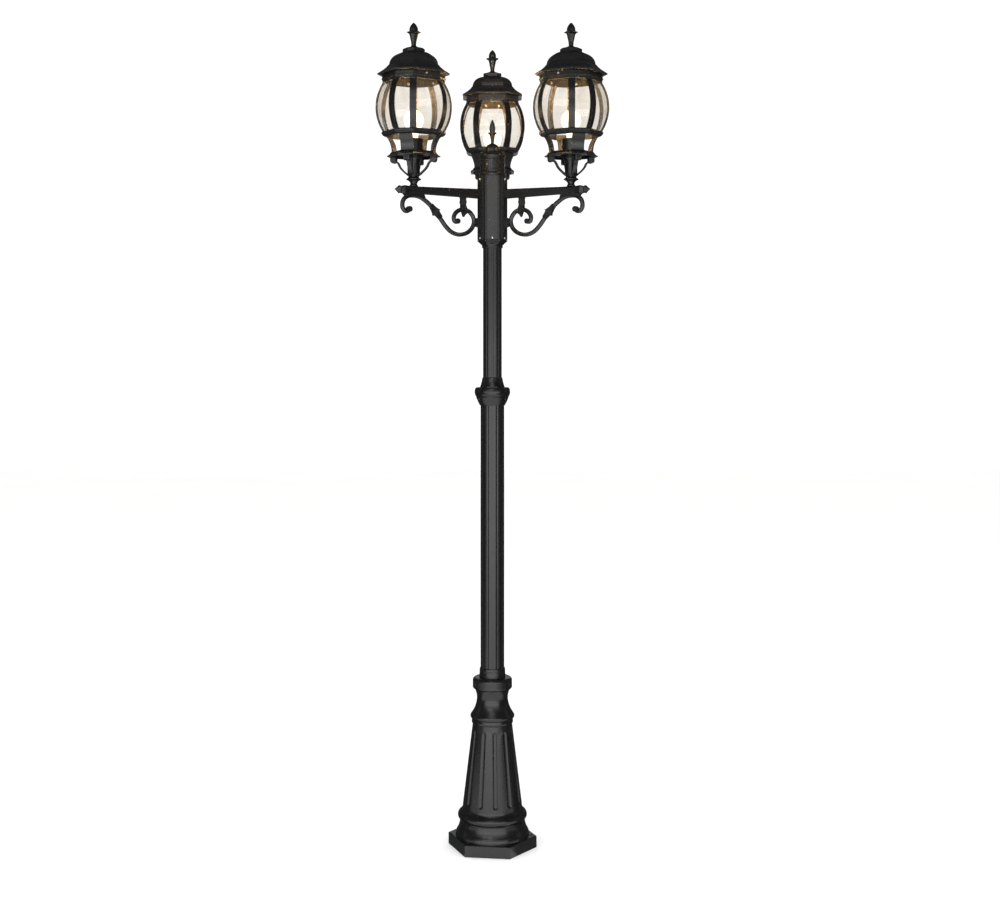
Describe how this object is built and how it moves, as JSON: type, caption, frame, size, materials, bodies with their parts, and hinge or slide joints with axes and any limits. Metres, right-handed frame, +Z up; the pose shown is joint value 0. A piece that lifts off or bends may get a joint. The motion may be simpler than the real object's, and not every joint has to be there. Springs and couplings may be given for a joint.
{
  "type": "three-lantern post light",
  "caption": "Free-standing post light: hexagonal foot, stepped fluted pole, scrolled arms and glazed lanterns with lift-off roofs and screw-in lamps.",
  "frame": {"origin": "centre of the hexagonal foot, on the ground plane, which is also the centre of the anchor-hole circle", "axes": "+Z up the post; +Y along the rear arm; the other two arms point 30 degrees forward of -X and of +X"},
  "size_m": [0.7252, 0.6501, 2.601],
  "materials": {
    "powder_coat": "satin",
    "powder_coat_pole": "satin",
    "screw_steel": "satin",
    "dark_steel": "satin",
    "zinc_steel": "satin",
    "wire_insulation": "matte",
    "connector_plastic": "satin",
    "gasket_rubber": "matte",
    "pane_glass": "polished",
    "lamp_glass": "satin",
    "lamp_cap_metal": "satin",
    "socket_ceramic": "gloss"
  },
  "bodies": {
    "post": {"arm_back": "powder_coat", "arm_left": "powder_coat", "arm_right": "powder_coat", "arm_wires": "wire_insulation", "base_casting": "powder_coat", "cage_back": "powder_coat", "cage_left": "powder_coat", "cage_right": "powder_coat", "coupler_cup": "powder_coat", "feed_wires": "wire_insulation", "gallery_back": "powder_coat", "gallery_left": "powder_coat", "gallery_right": "powder_coat", "glass_back": "pane_glass", "glass_clip_screws": "screw_steel", "glass_left": "pane_glass", "glass_right": "pane_glass", "holder_back": "powder_coat", "holder_left": "powder_coat", "holder_right": "powder_coat", "hub_body": "powder_coat", "hub_cap": "powder_coat", "hub_cover_strips": "powder_coat", "hub_screws": "screw_steel", "lock_nuts": "zinc_steel", "lower_pole": "powder_coat_pole", "nipples": "zinc_steel", "pedestal_back": "powder_coat", "pedestal_left": "powder_coat", "pedestal_right": "powder_coat", "pole_trim_ring": "powder_coat", "reducer_bush": "powder_coat", "roof_gaskets": "gasket_rubber", "set_screws": "dark_steel", "socket_back": "socket_ceramic", "socket_cup_back": "powder_coat", "socket_cup_left": "powder_coat", "socket_cup_right": "powder_coat", "socket_left": "socket_ceramic", "socket_right": "socket_ceramic", "upper_pole": "powder_coat_pole", "wire_nuts": "connector_plastic"},
    "hub_finial": {"hub_finial": "powder_coat"},
    "roof_left": {"roof_left": "powder_coat", "roof_screws_left": "screw_steel"},
    "finial_left": {"roof_finial_left": "powder_coat"},
    "lamp_left": {"lamp_base_left": "lamp_cap_metal", "lamp_bulb_left": "lamp_glass"},
    "roof_right": {"roof_right": "powder_coat", "roof_screws_right": "screw_steel"},
    "finial_right": {"roof_finial_right": "powder_coat"},
    "lamp_right": {"lamp_base_right": "lamp_cap_metal", "lamp_bulb_right": "lamp_glass"},
    "roof_back": {"roof_back": "powder_coat", "roof_screws_back": "screw_steel"},
    "finial_back": {"roof_finial_back": "powder_coat"},
    "lamp_back": {"lamp_base_back": "lamp_cap_metal", "lamp_bulb_back": "lamp_glass"}
  },
  "joints": [
    {"name": "roof_lift_left", "type": "slide", "parent": "post", "child": "roof_left", "axis": [0, 0, 1], "range_m": [0, 0.15]},
    {"name": "finial_turn_left", "type": "hinge", "parent": "roof_left", "child": "finial_left", "pos_m": [-0.24422, -0.141, 2.527], "axis": [0, 0, 1], "continuous": true},
    {"name": "lamp_turn_left", "type": "hinge", "parent": "post", "child": "lamp_left", "pos_m": [-0.24422, -0.141, 2.242], "axis": [0, 0, 1], "continuous": true},
    {"name": "roof_lift_right", "type": "slide", "parent": "post", "child": "roof_right", "axis": [0, 0, 1], "range_m": [0, 0.15]},
    {"name": "finial_turn_right", "type": "hinge", "parent": "roof_right", "child": "finial_right", "pos_m": [0.24422, -0.141, 2.527], "axis": [0, 0, 1], "continuous": true},
    {"name": "lamp_turn_right", "type": "hinge", "parent": "post", "child": "lamp_right", "pos_m": [0.24422, -0.141, 2.242], "axis": [0, 0, 1], "continuous": true},
    {"name": "roof_lift_back", "type": "slide", "parent": "post", "child": "roof_back", "axis": [0, 0, 1], "range_m": [0, 0.15]},
    {"name": "finial_turn_back", "type": "hinge", "parent": "roof_back", "child": "finial_back", "pos_m": [0, 0.282, 2.527], "axis": [0, 0, 1], "continuous": true},
    {"name": "lamp_turn_back", "type": "hinge", "parent": "post", "child": "lamp_back", "pos_m": [0, 0.282, 2.242], "axis": [0, 0, 1], "continuous": true},
    {"name": "hub_finial_turn", "type": "hinge", "parent": "post", "child": "hub_finial", "pos_m": [0, 0, 2.244], "axis": [0, 0, 1], "continuous": true}
  ]
}
